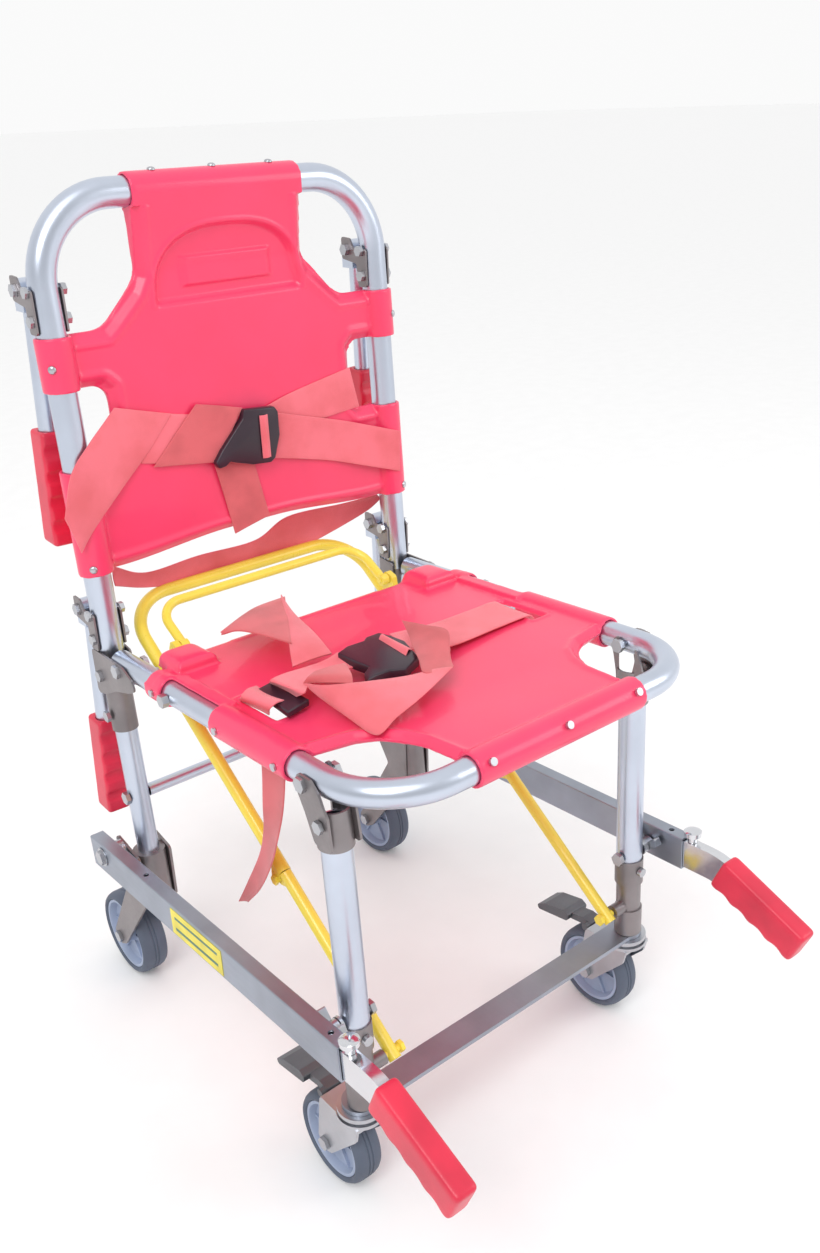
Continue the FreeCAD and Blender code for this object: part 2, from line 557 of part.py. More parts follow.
def make_caster_fork():
    """Swivel head, fork and king bolt nut: the wheel trails behind the swivel axis."""
    x, y = CASTER
    head_top = PLATE_TOP_Z - PLATE_THICK - 0.3
    wheel = (y + CASTER_TRAIL, FLOOR_Z + CASTER_WHEEL_R)
    head = Part.makeCylinder(23, 4.5, V(x, y, head_top - 4.5))
    head = head.fuse(Part.makeCylinder(20, 4, V(x, y, head_top - 8)))
    head = head.fuse(Part.makeCylinder(24, 4, V(x, y, head_top - 11.5)))
    crown_z = head_top - 15
    crown = box((x - 19, x + 19), (y - 18, y + 40), (crown_z, crown_z + 4))
    crown = crown.common(Part.makeCylinder(46, 10, V(x, y + 20, crown_z - 1)))
    outline = [(y - 18, crown_z + 3), (y + 42, crown_z + 3), (wheel[0] + 12, wheel[1] + 2),
               (wheel[0] + 4, wheel[1] - 12), (wheel[0] - 9, wheel[1] - 8), (y - 14, crown_z - 14)]
    cheeks = [plate_x(outline, (x + side[0], x + side[1]), 5.0) for side in ((16, 19), (-19, -16))]
    fork = fuse([head, crown] + cheeks)
    axle = bolt_x(wheel, (x - 19.2, x + 19.2), AXLE_R, across=13.0)
    wheel_room = rod(V(x - 15.4, wheel[0], wheel[1]), V(x + 15.4, wheel[0], wheel[1]), CASTER_WHEEL_R + 2.0)
    return fuse([fork.cut(wheel_room), axle])


def make_brake_pedal():
    """The caster's brake: an arm hinged behind the fork's crown that ends in a wide pedal."""
    x, y = CASTER
    y, z = y + 50.0, 101.0
    arm = [(y - 7, z - 4), (y - 7, z + 4), (y + 6, z + 6),
           (y + 40, z - 1), (y + 40, z - 8), (y + 6, z - 3)]
    arm = plate_x(arm, (x - 9, x + 9), 2.0)
    pad = [(y + 22, z + 2), (y + 30, z + 6), (y + 60, z - 1),
           (y + 72, z - 8), (y + 70, z - 14), (y + 24, z - 6)]
    pad = plate_x(pad, (x - 16, x + 16), 3.0)
    return fuse([arm, pad, rod_x((y - 3, z), (x - 15.0, x + 15.0), 4.5)])


# ---------------------------------------------------------------- side rails

def rail_frame(shape):
    """Turn a rail piece built level at its pivot to the rail's slope."""
    shape.rotate(V(0, RAIL_PIVOT[0], RAIL_PIVOT[1]), X_AXIS, -RAIL_SLOPE)
    return shape


def rail_box(width, height, run):
    """A level box along the rail; run holds the distances in front of the pivot."""
    y, z = RAIL_PIVOT
    middle = z - RAIL_DROP
    return box((RAIL_X - width / 2, RAIL_X + width / 2), (y - run[1], y - run[0]),
               (middle - height / 2, middle + height / 2))


def make_rail():
    """A box rail, closed at the rear, with the pivot hole and two locking holes in its top."""
    rail = rail_box(RAIL_W, RAIL_H, (-RAIL_BACK, RAIL_FRONT))
    rail = rail.makeFillet(1.5, [e for e in rail.Edges if e.BoundBox.YLength > 100])
    hollow = (RAIL_W - 2 * RAIL_WALL, RAIL_H - 2 * RAIL_WALL)
    rail = rail.cut(rail_box(*hollow, (-RAIL_BACK + 2, RAIL_FRONT + 1)))
    top = RAIL_PIVOT[1] - RAIL_DROP + RAIL_H / 2
    for distance in (92.0, RAIL_FRONT - 20):
        rail = rail.cut(Part.makeCylinder(3, 10, V(RAIL_X, RAIL_PIVOT[0] - distance, top - 5)))
    return rail_frame(rail).cut(rod_x(RAIL_PIVOT, (200, 250), 5.0 + FIT))


def make_slide():
    """The telescopic bar: straight inside the rail, then bent down into the grip."""
    y, z = RAIL_PIVOT
    middle = z - RAIL_DROP
    start, bend, tip = y - 80, y - RAIL_FRONT - 44, y - RAIL_FRONT - 138
    points = [V(RAIL_X, start, middle), V(RAIL_X, bend, middle), V(RAIL_X, tip, middle - 44)]
    half_w, half_h = SLIDE_W / 2 - 0.2, SLIDE_H / 2
    corners = [(-half_w, -half_h), (half_w, -half_h), (half_w, half_h), (-half_w, half_h)]
    profile = Part.makePolygon([V(RAIL_X + a, start, middle + b) for a, b in corners + corners[:1]])
    bar = rounded_wire(points, [60]).makePipeShell([profile], True, False)
    hole = Part.makeCylinder(3.2, 26, V(RAIL_X, y - RAIL_FRONT - 7.8, middle - 4))
    return rail_frame(bar.cut(hole))


def make_slide_grip():
    """A moulded grip with finger grooves underneath, bent down from the slide bar."""
    y, z = RAIL_PIVOT
    middle = z - RAIL_DROP
    start = V(RAIL_X, y - RAIL_FRONT - 47, middle)
    grip = box((-12, 12), (0, 110), (-20, 19))
    grip = grip.makeFillet(4.0, grip.Edges)
    for i in range(4):
        centre = 19 + i * 24.0
        grip = grip.cut(rod(V(-20, centre, -33), V(20, centre, -33), 16.5))
    grip.rotate(V(0, 0, 0), Z_AXIS, 180)
    grip.rotate(V(0, 0, 0), X_AXIS, 25.1)
    grip.translate(start)
    return rail_frame(grip).cut(make_slide())


def make_slide_knob():
    """The mushroom knob of the plunger that locks the slide bar."""
    y, z = RAIL_PIVOT
    at = V(RAIL_X, y - RAIL_FRONT - 7.8, z - RAIL_DROP)
    stem = Part.makeCylinder(3.1, 30, at + V(0, 0, -3))
    collar = Part.makeCylinder(5.0, 5.5, at + V(0, 0, SLIDE_H / 2 + 0.4))
    cap = Part.makeCylinder(9.0, 4.0, at + V(0, 0, 24))
    cap = cap.fuse(Part.makeSphere(16, at + V(0, 0, 16.4), Z_AXIS, 44, 90))
    cap = cap.common(Part.makeCylinder(9.5, 12, at + V(0, 0, 24)))
    return rail_frame(fuse([stem, collar, cap]))


# ---------------------------------------------------------------- brace

def unit(start, end):
    length = math.hypot(end[0] - start[0], end[1] - start[1])
    return ((end[0] - start[0]) / length, (end[1] - start[1]) / length)


def make_lever():
    """The U-shaped brace lever with knee lugs and the lugs that carry the release bar."""
    low, high = KNEE_JOINT, LEVER_TOP
    points = [V(-LEVER_X, *low), V(-LEVER_X, *high), V(LEVER_X, *high), V(LEVER_X, *low)]
    tongue_room = rod_x(KNEE_PIVOT, (LEVER_X - 3.3, LEVER_X + 3.3), 9.8)
    tube = pipe(points, [52, 52], BAR_R).cut([tongue_room, mirrored(tongue_room)])
    along = unit(low, high)
    knee = [(low[0] + along[0] * 18, low[1] + along[1] * 18), (low[0] + along[0], low[1] + along[1]),
            (KNEE_PIVOT[0] - 6.5, KNEE_PIVOT[1] + 0.5), (KNEE_PIVOT[0] + 1, KNEE_PIVOT[1] - 7),
            (KNEE_PIVOT[0] + 8, KNEE_PIVOT[1] - 1)]
    pieces = [plate_x(knee, (LEVER_X + offset - 1.3, LEVER_X + offset + 1.3), 2.0) for offset in (4.7, -4.7)]
    pieces.append(rod_x(KNEE_PIVOT, (LEVER_X - 5, LEVER_X + 5), 4.0))
    pieces.append(hexagon_x(KNEE_PIVOT, (LEVER_X + 5.9, LEVER_X + 9), 10.0))
    pieces.append(hexagon_x(KNEE_PIVOT, (LEVER_X - 9, LEVER_X - 5.9), 10.0))
    y, z = RELEASE_PIVOT
    near = LEVER_X - BAR_R - 5
    lug = [(y - 9, z + 4), (y + 4, z + 8), (y + 9, z - 2), (y + 10, z - 38), (y - 22, z - 62)]
    pieces.append(plate_x(lug, (near, near + 7), 4.0))
    pieces.append(rod_x(RELEASE_PIVOT, (RELEASE_X - 6, near + 1), 3.0))
    lever = fuse([tube] + pieces + [mirrored(piece) for piece in pieces])
    bore = rod_x(LEVER_PIVOT, (LEVER_X - 14, LEVER_X + 12), 4.0 + FIT)
    return lever.cut([bore, mirrored(bore)])


def make_lower_link():
    """The brace's lower tube: a tongue at the knee and its own bolt at the foot."""
    top, foot = KNEE_JOINT, LINK_FOOT
    along = unit(foot, top)
    start = V(LEVER_X, top[0] - along[0] * 1.0, top[1] - along[1] * 1.0)
    tube = rod(V(LEVER_X, foot[0] - along[0] * 8, foot[1] - along[1] * 8), start, BAR_R - 0.5)
    slots = ((LEVER_X + 3.0, LEVER_X + 8.0), (LEVER_X - 8.0, LEVER_X - 3.0))
    tube = tube.cut([rod_x(KNEE_PIVOT, slot, 13.0) for slot in slots])
    tube = tube.cut(rod_x(KNEE_PIVOT, (LEVER_X - 10, LEVER_X + 10), 9.0))
    y, z = KNEE_PIVOT
    outline = [(top[0] - along[0] * 20, top[1] - along[1] * 20),
               (top[0] - along[0] * 3, top[1] - along[1] * 3),
               (y + 5, z + 4), (y + 5, z - 5), (y - 4, z - 6)]
    tongue = plate_x(outline, (LEVER_X - 3, LEVER_X + 3), 3.0)
    tongue = tongue.cut(rod_x(KNEE_PIVOT, (LEVER_X - 5, LEVER_X + 5), 4.0 + FIT))
    bolt = rod_x(foot, (LEVER_X - 10, LEVER_X + 8.4), 3.5)
    head = hexagon_x(foot, (LEVER_X - 13, LEVER_X - 9), 11.0)
    return fuse([tube, tongue, bolt, head])


def make_release_bar():
    """The inner U bar that is squeezed towards the lever to free it."""
    low, high = RELEASE_PIVOT, RELEASE_TOP
    points = [V(-RELEASE_X, *low), V(-RELEASE_X, *high), V(RELEASE_X, *high), V(RELEASE_X, *low)]
    bar = pipe(points, [28, 28], RELEASE_R)
    eyes = [rod_x(RELEASE_PIVOT, (x - 4.5, x + 4.5), 6.5) for x in (RELEASE_X, -RELEASE_X)]
    bore = rod_x(RELEASE_PIVOT, (RELEASE_X - 20, RELEASE_X + 20), 3.0 + FIT)
    return fuse([bar] + eyes).cut([bore, mirrored(bore)])


# ---------------------------------------------------------------- straps

def make_chest_strap():
    """The strap across the front of the back panel, with the vertical strap that is sewn to it."""
    y = back_y(620.0)
    front = box((-200, 200), (y - 21.8, y - 19.4), (600, 650))
    tail = box((-30, 20), (y - 21.8, y - 19.4), (545, 640))
    return fuse([front, tail])


def make_chest_buckle():
    y = back_y(620.0)
    buckle = box((-52, 14), (y - 32.0, y - 22.0), (625, 677))
    return buckle.makeFillet(3, buckle.Edges)


def make_lap_strap():
    """The lap strap over the seat between the belt slots, with its tail hanging below."""
    top = SEAT_Z + 10.8
    lap = seat_tilt(box((-148, 148), (-35, 15), (top, top + 2.4)))
    tail = box((-165.0, -162.6), (-38, 8), (235, 446))
    return group([lap, tail])


def make_lap_buckle():
    top = SEAT_Z + 13.6
    buckle = box((-105, -20), (-40, 18), (top, top + 16))
    return seat_tilt(buckle.makeFillet(4, buckle.Edges))


# ---------------------------------------------------------------- write every node

save("back_tube", make_back_tube())
side_pair("rear_leg", make_rear_leg())
side_pair("gusset", make_gusset())
save("rear_crossbar", make_crossbar())
save("rear_wheel_brackets", both(make_wheel_bracket()))
save("back_panel", make_back_panel())
save("upper_hinge_plates", make_hinge_plates(UPPER_HANDLE_Z))
save("lower_hinge_plates", make_hinge_plates(LOWER_HANDLE_Z))
save("frame_fasteners", make_frame_fasteners())
save("rail_spacers", make_rail_spacers())
side_pair("rear_tyre", make_tyre(*REAR_WHEEL, REAR_WHEEL_R, REAR_TYRE_W))
side_pair("rear_hub", make_hub(*REAR_WHEEL, REAR_WHEEL_R, REAR_TYRE_W))
for level, height in (("upper", UPPER_HANDLE_Z), ("lower", LOWER_HANDLE_Z)):
    side_pair(level + "_handle_arm", make_handle_arm(height))
    side_pair(level + "_handle_grip", make_handle_grip(height))
save("seat_tube", make_seat_tube())
save("seat_panel", make_seat_panel())
save("seat_fasteners", make_seat_fasteners())
side_pair("front_leg", make_front_leg())
side_pair("front_bracket", make_front_bracket())
side_pair("leg_foot", make_foot())
save("front_crossbar", make_front_crossbar())
save("leg_fasteners", make_leg_fasteners())
side_pair("wing_nut", make_wing_nut())
side_pair("caster_fork", make_caster_fork())
caster_wheel = (CASTER[0], CASTER[1] + CASTER_TRAIL, CASTER_WHEEL_R, CASTER_TYRE_W)
side_pair("caster_tyre", make_tyre(*caster_wheel))
side_pair("caster_hub", make_hub(*caster_wheel))
side_pair("brake_pedal", make_brake_pedal())
side_pair("rail", make_rail())
side_pair("slide_bar", make_slide())
side_pair("slide_grip", make_slide_grip())
side_pair("slide_knob", make_slide_knob())
save("lever", make_lever())
save("lower_links", both(make_lower_link()))
save("release_bar", make_release_bar())
save("chest_strap", make_chest_strap())
save("chest_buckle", make_chest_buckle())
save("lap_strap", make_lap_strap())
save("lap_buckle", make_lap_buckle())
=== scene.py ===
import math

import bmesh
import bpy
import numpy as np
from mathutils import Matrix, Vector


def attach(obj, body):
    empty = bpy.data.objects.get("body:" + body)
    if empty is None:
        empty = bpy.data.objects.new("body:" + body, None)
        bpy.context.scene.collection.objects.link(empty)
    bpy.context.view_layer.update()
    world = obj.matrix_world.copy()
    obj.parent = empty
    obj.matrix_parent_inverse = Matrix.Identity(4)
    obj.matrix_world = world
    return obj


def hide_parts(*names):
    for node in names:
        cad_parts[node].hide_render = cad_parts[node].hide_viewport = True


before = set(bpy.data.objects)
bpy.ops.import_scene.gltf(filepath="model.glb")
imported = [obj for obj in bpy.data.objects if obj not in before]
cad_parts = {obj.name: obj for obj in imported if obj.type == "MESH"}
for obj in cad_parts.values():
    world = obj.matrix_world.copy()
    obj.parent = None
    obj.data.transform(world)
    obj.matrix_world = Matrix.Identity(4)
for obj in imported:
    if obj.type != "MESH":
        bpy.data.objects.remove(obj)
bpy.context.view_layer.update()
MM = 0.001
LIFT = 4.0            # the frame's floor is this far under the heights' datum


# ---------------------------------------------------------------- materials

def new_material(name, base, rough, metallic=0.0, coat=0.0):
    """A Principled material and its node tree helpers; numbers that are the same all over sit on the shader."""
    mat = bpy.data.materials.new(name)
    mat.use_nodes = True
    nodes, links = mat.node_tree.nodes, mat.node_tree.links
    bsdf = nodes["Principled BSDF"]
    bsdf.inputs["Base Color"].default_value = (*base, 1)
    bsdf.inputs["Roughness"].default_value = rough
    bsdf.inputs["Metallic"].default_value = metallic
    bsdf.inputs["Coat Weight"].default_value = coat
    coords = nodes.new("ShaderNodeTexCoord")
    return mat, nodes, links, bsdf, coords


def noise(nodes, links, source, scale, detail=4.0, stretch=(1, 1, 1)):
    mapping = nodes.new("ShaderNodeMapping")
    mapping.inputs["Scale"].default_value = stretch
    links.new(source, mapping.inputs["Vector"])
    tex = nodes.new("ShaderNodeTexNoise")
    tex.inputs["Scale"].default_value = scale
    tex.inputs["Detail"].default_value = detail
    links.new(mapping.outputs["Vector"], tex.inputs["Vector"])
    return tex.outputs["Fac"]


def ramp(nodes, links, fac, stops):
    """A colour ramp over (position, colour) stops."""
    node = nodes.new("ShaderNodeValToRGB")
    links.new(fac, node.inputs["Fac"])
    while len(node.color_ramp.elements) < len(stops):
        node.color_ramp.elements.new(0.5)
    for element, (at, colour) in zip(node.color_ramp.elements, stops):
        element.position = at
        element.color = (*colour, 1)
    return node.outputs["Color"]


def span(nodes, links, fac, low, high):
    """Map a 0..1 value to low..high."""
    node = nodes.new("ShaderNodeMapRange")
    node.inputs["To Min"].default_value = low
    node.inputs["To Max"].default_value = high
    links.new(fac, node.inputs["Value"])
    return node.outputs["Result"]


def bump(nodes, links, bsdf, height, strength, distance):
    node = nodes.new("ShaderNodeBump")
    node.inputs["Strength"].default_value = strength
    node.inputs["Distance"].default_value = distance
    links.new(height, node.inputs["Height"])
    links.new(node.outputs["Normal"], bsdf.inputs["Normal"])


def shade(colour, factor):
    return tuple(min(1.0, c * factor) for c in colour)


def surface(name, base, rough, metallic=0.0, coat=0.0, grain=300.0, depth=0.00015, vary=0.12, rough_vary=0.08,
            stretch=(1, 1, 1), spots=18.0):
    """A material with blotchy colour variation, uneven roughness and a fine grain."""
    mat, nodes, links, bsdf, coords = new_material(name, base, rough, metallic, coat)
    where = coords.outputs["Object"]
    blotch = noise(nodes, links, where, spots, 3.0)
    colour = ramp(nodes, links, blotch, [(0.3, shade(base, 1 - vary)), (0.7, shade(base, 1 + vary))])
    links.new(colour, bsdf.inputs["Base Color"])
    fine = noise(nodes, links, where, grain, 2.0, stretch)
    links.new(span(nodes, links, fine, rough - rough_vary, rough + rough_vary), bsdf.inputs["Roughness"])
    bump(nodes, links, bsdf, fine, 0.35, depth)
    return mat


def webbing(name, base, dark):
    """Woven strap: fine ribs across the strap, a crossing yarn and soiled patches."""
    mat, nodes, links, bsdf, coords = new_material(name, base, 0.78)
    bsdf.inputs["Sheen Weight"].default_value = 0.35
    bsdf.inputs["Sheen Roughness"].default_value = 0.5
    where = coords.outputs["UV"]
    waves = []
    for axis, scale in (("X", 300.0), ("Y", 420.0)):
        wave = nodes.new("ShaderNodeTexWave")
        wave.bands_direction = axis
        wave.inputs["Scale"].default_value = scale
        wave.inputs["Distortion"].default_value = 0.4
        links.new(where, wave.inputs["Vector"])
        waves.append(wave.outputs["Fac"])
    weave = nodes.new("ShaderNodeMath")
    weave.operation = "MULTIPLY_ADD"
    weave.inputs[1].default_value = 0.5
    links.new(waves[0], weave.inputs[0])
    links.new(waves[1], weave.inputs[2])
    soil = noise(nodes, links, coords.outputs["Object"], 22.0, 5.0)
    colour = ramp(nodes, links, soil, [(0.32, dark), (0.62, base)])
    mix = nodes.new("ShaderNodeMix")
    mix.data_type = "RGBA"
    mix.blend_type = "MULTIPLY"
    mix.inputs["Factor"].default_value = 0.35
    links.new(colour, mix.inputs["A"])
    links.new(ramp(nodes, links, weave.outputs[0], [(0.2, (0.55, 0.55, 0.55)), (1.0, (1, 1, 1))]), mix.inputs["B"])
    links.new(mix.outputs["Result"], bsdf.inputs["Base Color"])
    bump(nodes, links, bsdf, weave.outputs[0], 0.5, 0.0003)
    return mat


MAT = {
    "aluminium": surface("aluminium_tube", (0.58, 0.63, 0.73), 0.30, 1.0, grain=300, stretch=(1, 1, 0.2),
                         depth=0.000005, vary=0.05, rough_vary=0.04),
    "rail": surface("rail_extrusion", (0.36, 0.39, 0.45), 0.42, 1.0, grain=400, stretch=(1, 0.06, 1), depth=0.00003,
                    vary=0.10),
    "steel": surface("sheet_steel", (0.27, 0.245, 0.25), 0.40, 0.8, grain=250, depth=0.00004, vary=0.18),
    "zinc": surface("zinc_plate", (0.50, 0.51, 0.54), 0.33, 1.0, grain=200, depth=0.00001, vary=0.12,
                    rough_vary=0.04),
    "pedal": surface("pedal_coating", (0.13, 0.135, 0.15), 0.45, 0.5, grain=250, depth=0.00006, vary=0.2),
    "panel": surface("panel_plastic", (0.90, 0.048, 0.140), 0.33, coat=0.2, grain=900, depth=0.00018, vary=0.05,
                     rough_vary=0.06),
    "grip": surface("grip_plastic", (0.70, 0.022, 0.062), 0.38, coat=0.1, grain=700, depth=0.0002, vary=0.16),
    "yellow": surface("brace_paint", (0.88, 0.70, 0.075), 0.30, coat=0.3, grain=260, depth=0.00004, vary=0.06),
    "tyre": surface("tyre_rubber", (0.09, 0.11, 0.155), 0.62, grain=420, depth=0.0002, vary=0.16),
    "hub": surface("hub_plastic", (0.33, 0.39, 0.53), 0.45, grain=300, depth=0.0001, vary=0.12),
    "black": surface("buckle_plastic", (0.028, 0.014, 0.025), 0.32, grain=500, depth=0.00008, vary=0.2),
    "bright": surface("bright_bar", (0.72, 0.73, 0.76), 0.16, 1.0, grain=200, depth=0.00001, vary=0.06),
    "label": surface("label_film", (0.80, 0.68, 0.08), 0.45, grain=120, depth=0.00003, vary=0.14, spots=40),
    "label_mark": surface("label_mark", (0.09, 0.20, 0.15), 0.5, grain=120, depth=0.00002, vary=0.1),
    "strap": webbing("webbing_red", (0.98, 0.20, 0.25), (0.86, 0.15, 0.18)),
    # The next material is a darker copy of the red webbing: painted shade on the straps' back faces, lower layers
    # and the hanging tail.
    "strap_shaded": webbing("webbing_shaded", (0.80, 0.145, 0.165), (0.62, 0.105, 0.115)),
    "thread": surface("stitching", (0.42, 0.045, 0.07), 0.8, grain=900, vary=0.2),
    "floor": surface("floor", (0.93, 0.93, 0.93), 0.9, grain=30, depth=0.0, vary=0.01),
}


# ---------------------------------------------------------------- building pieces

def finish_piece(obj, mat, body, replaced=(), smooth=35.0):
    """Material, smooth shading and body of a new piece, with the CAD parts it replaces hidden."""
    obj.data.materials.clear()
    obj.data.materials.append(MAT[mat])
    if smooth:
        obj.data.shade_smooth()
        with bpy.context.temp_override(object=obj, active_object=obj, selected_objects=[obj],
                                       selected_editable_objects=[obj]):
            bpy.ops.object.shade_smooth_by_angle(angle=math.radians(smooth))
    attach(obj, body)
    if replaced:
        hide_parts(*replaced)
    return obj


def add_object(name, mesh):
    obj = bpy.data.objects.new(name, mesh)
    bpy.context.scene.collection.objects.link(obj)
    return obj


def mesh_from(name, verts, faces):
    """A piece from points in millimetres over the datum."""
    mesh = bpy.data.meshes.new(name)
    mesh.from_pydata([(Vector(v) + Vector((0, 0, LIFT))) * MM for v in verts], [], faces)
    mesh.update()
    return add_object(name, mesh)


def bake_modifiers(obj):
    """Replace the mesh with its modified form."""
    graph = bpy.context.evaluated_depsgraph_get()
    mesh = bpy.data.meshes.new_from_object(obj.evaluated_get(graph))
    obj.modifiers.clear()
    obj.data = mesh
    return obj


def softened(node, name, voxel, rounds):
    """A copy of a CAD node with its edges rounded off, as a moulding has."""
    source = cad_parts[node]
    mesh = source.data.copy()
    mesh.transform(source.matrix_world)
    obj = add_object(name, mesh)
    remesh = obj.modifiers.new("remesh", "REMESH")
    remesh.mode = "VOXEL"
    remesh.voxel_size = voxel * MM
    smooth = obj.modifiers.new("smooth", "SMOOTH")
    smooth.factor = 0.5
    smooth.iterations = rounds
    return bake_modifiers(obj)


def displace(obj, push):
    """Move every vertex by push(points in mm) -> offsets in mm."""
    count = len(obj.data.vertices)
    points = np.empty(count * 3)
    obj.data.vertices.foreach_get("co", points)
    points = points.reshape(-1, 3) / MM
    points += push(points - np.array((0, 0, LIFT)))
    obj.data.vertices.foreach_set("co", (points * MM).ravel())
    obj.data.update()


def relax(obj, chosen, rounds):
    """Smooth only the vertices that chosen(point in mm over the datum) picks."""
    work = bmesh.new()
    work.from_mesh(obj.data)
    near = [v for v in work.verts if chosen((v.co.x / MM, v.co.y / MM, v.co.z / MM - LIFT))]
    for _ in range(rounds):
        bmesh.ops.smooth_vert(work, verts=near, factor=0.5, use_axis_x=True, use_axis_y=True, use_axis_z=True)
    work.to_mesh(obj.data)
    work.free()


def line_distance(points, line):
    """Distance of 2D points to the nearest segment of a polyline."""
    best = np.full(len(points), 1e9)
    for a, b in zip(line, line[1:]):
        a, b = np.array(a, float), np.array(b, float)
        along = b - a
        t = np.clip(((points - a) @ along) / (along @ along), 0, 1)
        best = np.minimum(best, np.linalg.norm(points - (a + t[:, None] * along), axis=1))
    return best


def bell(distance, centre, width):
    return np.exp(-((distance - centre) / width) ** 2)


def soft_step(value, low, high):
    t = np.clip((value - low) / (high - low), 0, 1)
    return t * t * (3 - 2 * t)


def join(name, objects):
    """One mesh object from several."""
    joined = bmesh.new()
    for obj in objects:
        joined.from_mesh(obj.data)
        bpy.data.objects.remove(obj)
    mesh = bpy.data.meshes.new(name)
    joined.to_mesh(mesh)
    joined.free()
    return add_object(name, mesh)


def lathe(name, centre, profile, steps=72):
    """Turn a closed profile of (along X, radius) points about the X line through centre."""
    verts, faces = [], []
    count = len(profile)
    for i in range(steps):
        angle = 2 * math.pi * i / steps
        for along, radius in profile:
            a, b = radius * math.cos(angle), radius * math.sin(angle)
            verts.append([c + o for c, o in zip(centre, (along, a, b))])
    for i in range(steps):
        for j in range(count):
            nxt, up = (i + 1) % steps, (j + 1) % count
            faces.append((i * count + j, i * count + up, nxt * count + up, nxt * count + j))
    obj = mesh_from(name, verts, faces)
    fix_normals(obj)
    return obj


def fix_normals(obj):
    work = bmesh.new()
    work.from_mesh(obj.data)
    bmesh.ops.recalc_face_normals(work, faces=work.faces)
    work.to_mesh(obj.data)
    work.free()


DOME_SINK = 0.5        # how far a head's underside reaches into the surface


def dome(at, direction, radius, height):
    """A domed rivet head on a surface point, in millimetres over the datum."""
    direction = Vector(direction).normalized()
    turn = Vector((0, 0, 1)).rotation_difference(direction)
    rings = [(radius, 0.0), (radius * 0.98, height * 0.35), (radius * 0.8, height * 0.75),
             (radius * 0.45, height * 0.97)]
    verts, faces, ring = [], [], 20
    for r, h in rings:
        for i in range(ring):
            angle = 2 * math.pi * i / ring
            verts.append(Vector((r * math.cos(angle), r * math.sin(angle), h)))
    verts.append(Vector((0, 0, height)))
    verts.append(Vector((0, 0, -DOME_SINK)))
    top, bottom = len(verts) - 2, len(verts) - 1
    last = (len(rings) - 1) * ring
    for level in range(len(rings) - 1):
        for i in range(ring):
            a, b = level * ring + i, level * ring + (i + 1) % ring
            faces.append((a, b, b + ring, a + ring))
    for i in range(ring):
        faces.append((last + i, last + (i + 1) % ring, top))
        faces.append(((i + 1) % ring, i, bottom))
    return mesh_from("dome", [Vector(at) + turn @ v for v in verts], faces)


def domes(name, body, spots):
    """Rivet heads joined to one piece; each spot is (point, direction, radius, height)."""
    obj = join(name, [dome(*spot) for spot in spots])
    return finish_piece(obj, "zinc", body)


def curve_through(points, steps):
    """Catmull-Rom through the points."""
    pts = [Vector(p) for p in points]
    pts = [pts[0] * 2 - pts[1]] + pts + [pts[-1] * 2 - pts[-2]]
    out = []
    for i in range(1, len(pts) - 2):
        p0, p1, p2, p3 = pts[i - 1:i + 3]
        for s in range(steps):
            t = s / steps
            out.append(0.5 * ((2 * p1) + (p2 - p0) * t + (2 * p0 - 5 * p1 + 4 * p2 - p3) * t * t
                              + (3 * p1 - p0 - 3 * p2 + p3) * t * t * t))
    out.append(pts[-2])
    return out


STRAP_THICK = 1.5


def ribbon(name, rows, mat, body, replaced=(), steps=10, across=10, crown=0.0):
    """A strap between two edge lines: rows holds pairs of edge points in millimetres."""
    left = curve_through([row[0] for row in rows], steps)
    right = curve_through([row[1] for row in rows], steps)
    verts, uvs, length = [], [], 0.0
    for i, (a, b) in enumerate(zip(left, right)):
        if i:
            length += ((a + b) / 2 - (left[i - 1] + right[i - 1]) / 2).length
        ahead = min(i + 1, len(left) - 1)
        behind = max(i - 1, 0)
        along = (left[ahead] + right[ahead]) - (left[behind] + right[behind])
        normal = (b - a).cross(along)
        normal = normal.normalized() if normal.length > 1e-6 else Vector((0, 0, 1))
        for j in range(across + 1):
            t = j / across
            bulge = crown * 4 * t * (1 - t)
            verts.append(a.lerp(b, t) + normal * bulge)
            uvs.append((t * (b - a).length * MM, length * MM))
    stride = across + 1
    faces = [(i * stride + j, i * stride + j + 1, (i + 1) * stride + j + 1, (i + 1) * stride + j)
             for i in range(len(left) - 1) for j in range(across)]
    obj = mesh_from(name, verts, faces)
    layer = obj.data.uv_layers.new(name="weave")
    for loop in obj.data.loops:
        layer.data[loop.index].uv = uvs[loop.vertex_index]
    thick = obj.modifiers.new("thick", "SOLIDIFY")
    thick.thickness = STRAP_THICK * MM
    thick.offset = 0.0
    edge = obj.modifiers.new("edge", "BEVEL")
    edge.width = 0.45 * MM
    edge.segments = 2
    edge.limit_method = "ANGLE"
    edge.angle_limit = math.radians(60)
    bake_modifiers(obj)
    return finish_piece(obj, mat, body, replaced, smooth=50)


def on_ribbon(rows, t, u, lift):
    """A point on a strap's straight-sided surface: t along the rows, u across, lifted off it."""
    spot = min(int(t), len(rows) - 2)
    f = t - spot
    a = Vector(rows[spot][0]).lerp(Vector(rows[spot + 1][0]), f)
    b = Vector(rows[spot][1]).lerp(Vector(rows[spot + 1][1]), f)
    near, far = rows[spot], rows[spot + 1]
    along = (Vector(far[0]) + Vector(far[1])) - (Vector(near[0]) + Vector(near[1]))
    normal = (b - a).cross(along).normalized()
    return a.lerp(b, u) + normal * lift


